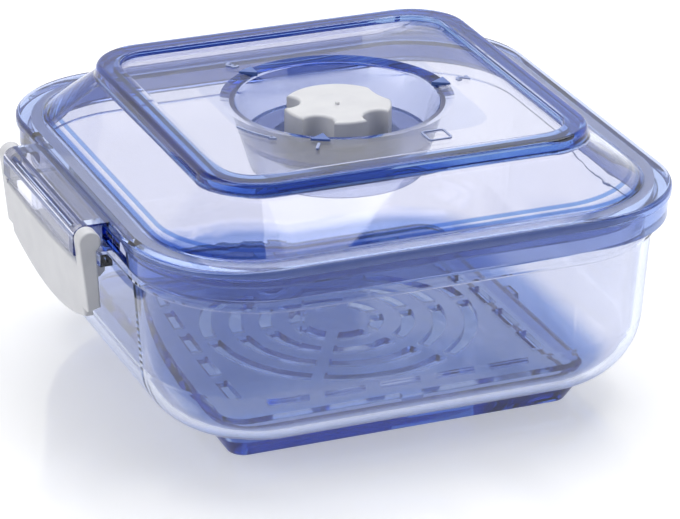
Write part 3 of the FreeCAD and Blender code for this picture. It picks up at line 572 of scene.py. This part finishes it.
@dataclass
class Lid:
    """The clear lid, its gasket and the raised marks round the valve well. Sizes in millimetres and degrees."""

    panel_level: float = 102.4
    mark_rise: float = 0.45
    mark_sink: float = 0.12
    mark_bevel: float = 0.12
    pointer_reach: float = 4.0
    pointer_radius: float = 40.6
    pointer_sink: float = 1.1
    pointer_turns: tuple[float, ...] = (-120.0, 0.0, 120.0)
    number_size: float = 7.0
    number_weight: float = 0.16
    number_radius: float = 49.0
    arrow_radius: float = 46.5
    arrow_width: float = 0.7
    arrow_start_deg: float = -161.0
    arrow_end_deg: float = -141.0
    arrow_head: float = 1.7
    arrow_steps: int = 20
    tile_place: tuple[float, float] = (18.0, -47.5)
    tile_size: float = 9.0
    tile_line: float = 0.7
    tile_corner: float = 1.6
    tile_corner_steps: int = 5

    def build(self) -> None:
        """Dresses the lid and its gasket and adds the marks."""
        dress("lid", LID_BLUE.material())
        dress("lid_gasket", GASKET.material())
        # The triangles' deep blue is painted shade of raised clear marks.
        self.fix_marks(self.pointers(), RAISED_MARK_DEEP_SHADE.material())
        # The thin marks' pale blue is painted highlight and shade of raised clear marks.
        thin = [*self.numbers(), self.arrow_line(), self.arrow_tip(), self.tile()]
        self.fix_marks(thin, RAISED_MARK_PALE_SHADE.material())

    def fix_marks(self, pieces: list[bpy.types.Object], finish: bpy.types.Material) -> None:
        """Gives marks their finish and fixes them to the lid.

        Args:
            pieces: The marks.
            finish: Their material.
        """
        for piece in pieces:
            finish_piece(piece, finish)
            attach(piece, Body.LID.value)
            LOG.info("%s moulded on the lid", piece.name)

    def wedge(self, name: str, reach: float, sink: float) -> bpy.types.Object:
        """Models one raised triangle that points along -Y.

        Args:
            name: The piece's name.
            reach: From the middle to a corner.
            sink: How far it goes down into the lid.

        Returns:
            The triangle, about the origin.
        """
        depth = self.mark_rise + sink
        piece = start_piece(name, bpy.ops.mesh.primitive_cylinder_add, vertices=3, radius=reach * MM,
                            depth=depth * MM, location=(0, 0, (self.mark_rise - depth / 2) * MM),
                            rotation=(0, 0, math.pi))
        bake_place()
        bevel_top(piece, self.mark_bevel)
        return piece

    def pointers(self) -> list[bpy.types.Object]:
        """Makes the three triangles over the well's sloped edge, with level tops.

        Returns:
            The triangles.
        """
        first = self.wedge("valve_pointer_1", self.pointer_reach, self.pointer_sink)
        made = [first] + [own_copy(first, f"valve_pointer_{at}") for at in range(2, len(self.pointer_turns) + 1)]
        for piece, turn in zip(made, self.pointer_turns):
            settle(piece, turn - 90.0, (0.0, self.pointer_radius * MM, self.panel_level * MM))
        return made

    def numbers(self) -> list[bpy.types.Object]:
        """Makes the plain numbers beside the triangles.

        Returns:
            The numbers as meshes.
        """
        lift = self.panel_level + (self.mark_rise - self.mark_sink) / 2
        made = []
        for at, turn in enumerate(self.pointer_turns, 1):
            piece = start_piece(f"valve_number_{at}", bpy.ops.object.text_add)
            piece.data.body = str(at)
            piece.data.size = self.number_size * MM
            piece.data.offset = self.number_weight * MM
            piece.data.extrude = (self.mark_rise + self.mark_sink) / 2 * MM
            piece.data.align_x = "CENTER"
            piece.data.align_y = "CENTER"
            bpy.ops.object.convert(target="MESH")
            close_mesh(piece)
            settle(piece, turn + 90.0, (0.0, -self.number_radius * MM, lift * MM))
            made.append(piece)
        return made

    def arrow_line(self) -> bpy.types.Object:
        """Makes the thin raised line that shows which way the knob turns.

        Returns:
            The line.
        """
        depth = self.mark_rise + self.mark_sink
        middle = self.panel_level + self.mark_rise - depth / 2
        piece = start_piece("turn_arrow_line", bpy.ops.mesh.primitive_plane_add, size=1.0, rotation=(math.pi / 2, 0, 0))
        piece.scale = (self.arrow_width * MM, depth * MM, 1.0)
        piece.location = (self.arrow_radius * MM, 0, middle * MM)
        bake_place()
        bpy.ops.object.mode_set(mode="EDIT")
        bpy.ops.mesh.select_all(action="SELECT")
        bpy.ops.mesh.spin(steps=self.arrow_steps, angle=math.radians(self.arrow_end_deg - self.arrow_start_deg),
                          center=(0, 0, 0), axis=(0, 0, 1))
        bpy.ops.object.mode_set(mode="OBJECT")
        close_mesh(piece)
        ends = [math.degrees(math.atan2(vertex.co.y, vertex.co.x)) for vertex in piece.data.vertices]
        settle(piece, self.arrow_start_deg - min(ends))
        return piece

    def arrow_tip(self) -> bpy.types.Object:
        """Makes the arrow's head.

        Returns:
            The head.
        """
        piece = self.wedge("turn_arrow_tip", self.arrow_head, self.mark_sink)
        settle(piece, 180.0)
        settle(piece, self.arrow_end_deg, (self.arrow_radius * MM, 0.0, self.panel_level * MM))
        return piece

    def tile(self) -> bpy.types.Object:
        """Makes the plain square outline beside the valve.

        Returns:
            The outline.
        """
        across, along = self.tile_place
        piece = start_piece("panel_tile", bpy.ops.mesh.primitive_plane_add, size=self.tile_size * MM)
        bpy.ops.object.mode_set(mode="EDIT")
        bpy.ops.mesh.select_all(action="SELECT")
        bpy.ops.mesh.bevel(offset=self.tile_corner * MM, segments=self.tile_corner_steps, affect="VERTICES")
        bpy.ops.mesh.select_all(action="SELECT")
        bpy.ops.mesh.inset(thickness=self.tile_line * MM)
        bpy.ops.mesh.delete(type="FACE")
        bpy.ops.mesh.select_all(action="SELECT")
        bpy.ops.mesh.extrude_region_move(
            TRANSFORM_OT_translate={"value": (0, 0, (self.mark_rise + self.mark_sink) * MM)})
        bpy.ops.object.mode_set(mode="OBJECT")
        close_mesh(piece)
        settle(piece, 0.0, (across * MM, along * MM, (self.panel_level - self.mark_sink) * MM))
        return piece


@dataclass
class Latch:
    """The white clip on the lid's left side."""

    def build(self) -> None:
        """Dresses the clip."""
        dress("latch", WHITE_CLIP.material())


@dataclass
class Valve:
    """The knob and what turns with it under the well. Sizes in millimetres."""

    top_level: float = 100.0
    gate_radius: float = 0.8
    gate_rise: float = 0.35
    gate_sink: float = 0.6
    gate_bevel: float = 0.2
    gate_sides: int = 32

    def build(self) -> None:
        """Dresses the knob and the pieces of the valve."""
        white = WHITE_CLIP.material()
        dress("valve_knob", white)
        stub = self.gate_mark()
        finish_piece(stub, white)
        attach(stub, Body.VALVE.value)
        LOG.info("%s moulded on the knob", stub.name)
        inner = ((ACETAL, ("valve_spindle", "thrust_washer", "rotor_plate")),
                 (SILICONE, ("spindle_o_ring", "rotor_seal", "check_valve")),
                 (STEEL, ("valve_spring", "spindle_screw")))
        for finish, nodes in inner:
            material = finish.material()
            for node in nodes:
                dress(node, material)

    def gate_mark(self) -> bpy.types.Object:
        """Models the small round stub that moulding leaves in the middle of the knob's top.

        Returns:
            The stub.
        """
        depth = self.gate_rise + self.gate_sink
        middle = self.top_level + self.gate_rise - depth / 2
        piece = start_piece("knob_gate_mark", bpy.ops.mesh.primitive_cylinder_add, vertices=self.gate_sides,
                            radius=self.gate_radius * MM, depth=depth * MM, location=(0, 0, middle * MM))
        bake_place()
        bevel_top(piece, self.gate_bevel)
        return piece


@dataclass(frozen=True)
class Softbox:
    """One soft square lamp. Places and sizes in metres."""

    name: str
    place: tuple[float, float, float]
    aim: tuple[float, float, float]
    size: float
    watts: float

    def build(self) -> None:
        """Adds the lamp and turns it to its aim."""
        data = bpy.data.lights.new(self.name, "AREA")
        data.shape = "SQUARE"
        data.size = self.size
        data.energy = self.watts
        lamp = bpy.data.objects.new(self.name, data)
        bpy.context.collection.objects.link(lamp)
        way = Vector(self.aim) - Vector(self.place)
        lamp.location = self.place
        lamp.rotation_euler = way.to_track_quat("-Z", "Y").to_euler()


@dataclass
class Studio:
    """Camera, floor, lamps and surroundings. Sizes in metres unless named otherwise."""

    eye: tuple[float, float, float] = (-0.48981, -1.19658, 0.60276)
    gaze: tuple[float, float, float] = (0.34811, 0.84793, -0.39979)
    roll_deg: float = 0.36
    lens_mm: float = 205.4
    sensor_mm: float = 36.0
    near: float = 0.05
    far: float = 50.0
    floor_size: float = 12.0
    floor_gap: float = 0.0001
    floor_tone: str = "#FAFAFA"
    floor_rough: tuple[float, float] = (0.08, 0.096)
    floor_cloud_mm: float = 40.0
    floor_ior: float = 1.65
    floor_lift: float = 0.37
    floor_lift_through: float = 0.64
    room_level: float = 0.10
    dim_level: float = 0.55
    dim_tone: str = "#C6D2F4"
    backdrop_top: tuple[float, float] = (0.45, 0.70)
    backdrop_side: tuple[float, float] = (-0.35, 0.15)
    # The blue board is painted shade: a dark sheet seen only through the clear plastic.
    flag_tone: str = "#3F63C4"
    flag_rough: tuple[float, float] = (0.8, 0.95)
    flag_cloud_mm: float = 4.0
    flag_edge: float = 0.176
    flag_reach: float = 0.9
    flag_back: float = 0.40
    flag_height: float = 0.245
    bounces: int = 32
    lamps: tuple[Softbox, ...] = (
        Softbox("overhead_softbox", place=(0.25, 0.3, 1.3), aim=(0.0, 0.0, 0.05), size=1.3, watts=15.0),
        Softbox("left_softbox", place=(-1.4, -0.2, 0.85), aim=(0.0, 0.0, 0.06), size=1.4, watts=9.5),
        Softbox("right_softbox", place=(1.1, -0.7, 0.6), aim=(0.0, 0.0, 0.08), size=1.1, watts=5.0))

    def build(self) -> None:
        """Sets up the whole studio."""
        scene = bpy.context.scene
        scene.view_settings.view_transform = "Standard"
        scene.cycles.max_bounces = self.bounces
        scene.cycles.transmission_bounces = self.bounces
        scene.cycles.glossy_bounces = self.bounces
        self.camera()
        self.floor()
        # The blue board is painted shade, seen only through the plastic.
        self.flag()
        self.surroundings()
        for lamp in self.lamps:
            lamp.build()

    def camera(self) -> None:
        """Puts the camera where the picture was taken from."""
        data = bpy.data.cameras.new("photo_camera")
        data.lens = self.lens_mm
        data.sensor_width = self.sensor_mm
        data.sensor_fit = "HORIZONTAL"
        data.clip_start = self.near
        data.clip_end = self.far
        camera = bpy.data.objects.new("photo_camera", data)
        bpy.context.collection.objects.link(camera)
        ahead = Vector(self.gaze).normalized()
        right = ahead.cross(Vector((0, 0, 1))).normalized()
        up = right.cross(ahead)
        roll = math.radians(self.roll_deg)
        across = math.cos(roll) * right + math.sin(roll) * up
        upward = math.cos(roll) * up - math.sin(roll) * right
        turn = Matrix((across, upward, -ahead)).transposed().to_4x4()
        camera.matrix_world = Matrix.Translation(Vector(self.eye)) @ turn
        bpy.context.scene.camera = camera

    def seen_directly(self, tree: bpy.types.NodeTree) -> bpy.types.NodeSocket:
        """Adds a switch that is one for camera, mirror and see-through rays.

        Args:
            tree: The node tree.

        Returns:
            The switch's socket.
        """
        path = add_node(tree, "ShaderNodeLightPath")
        first = combine(tree, "MAXIMUM", path.outputs["Is Camera Ray"], path.outputs["Is Glossy Ray"])
        return combine(tree, "MAXIMUM", first, path.outputs["Is Transmission Ray"])

    def floor(self) -> None:
        """Lays a pale, softly polished floor that keeps the shadow, a thin layer of air below the foot."""
        floor = start_piece("studio_floor", bpy.ops.mesh.primitive_plane_add, size=self.floor_size,
                            location=(0, 0, -self.floor_gap))
        bake_place()
        material, tree = new_material("acrylic_sheet_white")
        board = add_node(tree, "ShaderNodeBsdfPrincipled", {
            "Base Color": linear(self.floor_tone), "IOR": self.floor_ior,
            "Roughness": spread(tree, grain(tree, self.floor_cloud_mm), *self.floor_rough)})
        path = add_node(tree, "ShaderNodeLightPath")
        direct = combine(tree, "MULTIPLY", self.seen_directly(tree), self.floor_lift)
        through = combine(tree, "MULTIPLY", path.outputs["Is Transmission Ray"], self.floor_lift_through)
        glow = add_node(tree, "ShaderNodeEmission", {
            "Color": linear(WHITE), "Strength": combine(tree, "MAXIMUM", direct, through)})
        both = add_node(tree, "ShaderNodeAddShader", {0: board.outputs["BSDF"], 1: glow.outputs["Emission"]})
        add_node(tree, "ShaderNodeOutputMaterial", {"Surface": both.outputs["Shader"]})
        floor.data.materials.append(material)

    def flag(self) -> None:
        """Stands a blue board behind on the left, which shows only through the clear plastic: painted shade, a dark
        sheet that darkens what shows through the plastic.
        """
        board = start_piece("studio_shade_board", bpy.ops.mesh.primitive_plane_add, size=1.0, rotation=(math.pi / 2, 0, 0))
        board.scale = (self.flag_reach, self.flag_height, 1.0)
        board.location = (self.flag_edge - self.flag_reach / 2, self.flag_back, self.flag_height / 2)
        bake_place()
        # Painted shade: a blue sheet that shows only through the clear plastic.
        material, tree = new_material("painted_shade_board_blue")
        painted_shade = add_node(tree, "ShaderNodeBsdfPrincipled", {
            "Base Color": linear(self.flag_tone),
            "Roughness": spread(tree, grain(tree, self.flag_cloud_mm), *self.flag_rough)})
        path = add_node(tree, "ShaderNodeLightPath")
        not_at_all = 0.5
        past = combine(tree, "GREATER_THAN", path.outputs["Transmission Depth"], not_at_all)
        clear = add_node(tree, "ShaderNodeBsdfTransparent")
        both = add_node(tree, "ShaderNodeMixShader", {0: past, 1: clear.outputs["BSDF"], 2: painted_shade.outputs["BSDF"]})
        add_node(tree, "ShaderNodeOutputMaterial", {"Surface": both.outputs["Shader"]})
        board.data.materials.append(material)
        board.visible_camera = False
        board.visible_shadow = False
        board.visible_diffuse = False

    def surroundings(self) -> None:
        """Sets a white room that lights the object at a plain level, dimmer and bluer above and in front."""
        world = bpy.data.worlds.new("white_room")
        bpy.context.scene.world = world
        world.use_nodes = True
        tree = world.node_tree
        tree.nodes.clear()
        way = add_node(tree, "ShaderNodeTexCoord")
        parts = add_node(tree, "ShaderNodeSeparateXYZ", {"Vector": way.outputs["Generated"]})
        low, high = self.backdrop_top
        above = add_node(tree, "ShaderNodeMapRange", {
            "Value": parts.outputs["Z"], "From Min": low, "From Max": high, "To Min": 1.0, "To Max": self.dim_level})
        front, back = self.backdrop_side
        behind = add_node(tree, "ShaderNodeMapRange", {
            "Value": parts.outputs["Y"], "From Min": front, "From Max": back, "To Min": self.dim_level, "To Max": 1.0})
        drop = combine(tree, "MINIMUM", above.outputs["Result"], behind.outputs["Result"])
        path = add_node(tree, "ShaderNodeLightPath")
        shown = combine(tree, "MAXIMUM", path.outputs["Is Camera Ray"], drop)
        level = add_node(tree, "ShaderNodeMapRange", {
            "Value": self.seen_directly(tree), "To Min": self.room_level, "To Max": shown})
        room = add_node(tree, "ShaderNodeBackground", {
            "Color": two_tone(tree, shown, self.dim_tone, WHITE, self.dim_level), "Strength": level.outputs["Result"]})
        add_node(tree, "ShaderNodeOutputWorld", {"Surface": room.outputs["Background"]})


def main() -> None:
    """Builds the studio and dresses the canister, one sub-assembly after another."""
    logging.basicConfig(level=logging.INFO, format="%(name)s: %(message)s")
    Studio().build()
    for part in (Tub(), Lid(), Latch(), Valve()):
        part.build()


if __name__ == "__main__":
    main()
